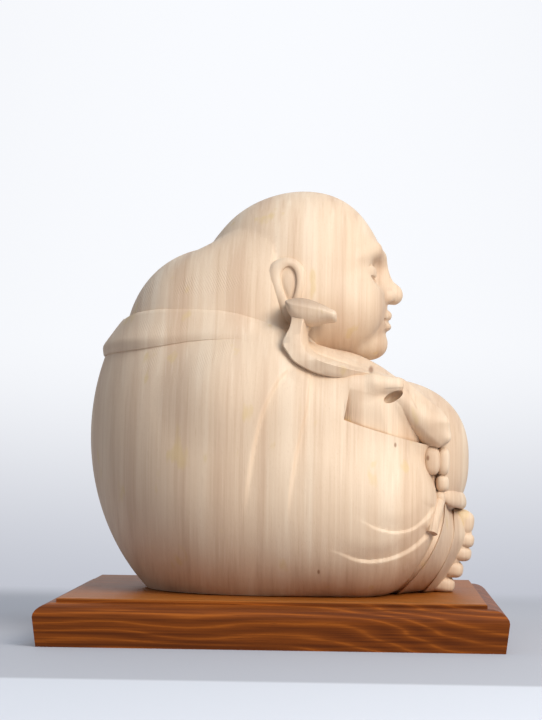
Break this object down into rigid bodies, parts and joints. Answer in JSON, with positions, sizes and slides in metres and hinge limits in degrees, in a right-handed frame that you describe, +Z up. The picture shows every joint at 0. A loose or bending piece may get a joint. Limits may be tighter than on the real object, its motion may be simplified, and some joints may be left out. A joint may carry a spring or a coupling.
{
  "type": "seated budai figure on a plinth",
  "caption": "Carved wooden figure of a round, bald monk seated in a robe with a sceptre and prayer beads, on a flat stained board with a moulded edge.",
  "frame": {"origin": "centre of the board's underside", "axes": "+Z up; the figure faces -Y, with its right side towards -X"},
  "size_m": [0.19, 0.2, 0.202],
  "materials": {
    "pale_wood": "pale close-grained wood, finely tooled and left unvarnished, satin-matt",
    "stained_wood": "red-brown stained hardwood with open wavy grain, satin"
  },
  "bodies": {
    "root": {"figure": "pale_wood", "plinth": "stained_wood"}
  },
  "joints": []
}
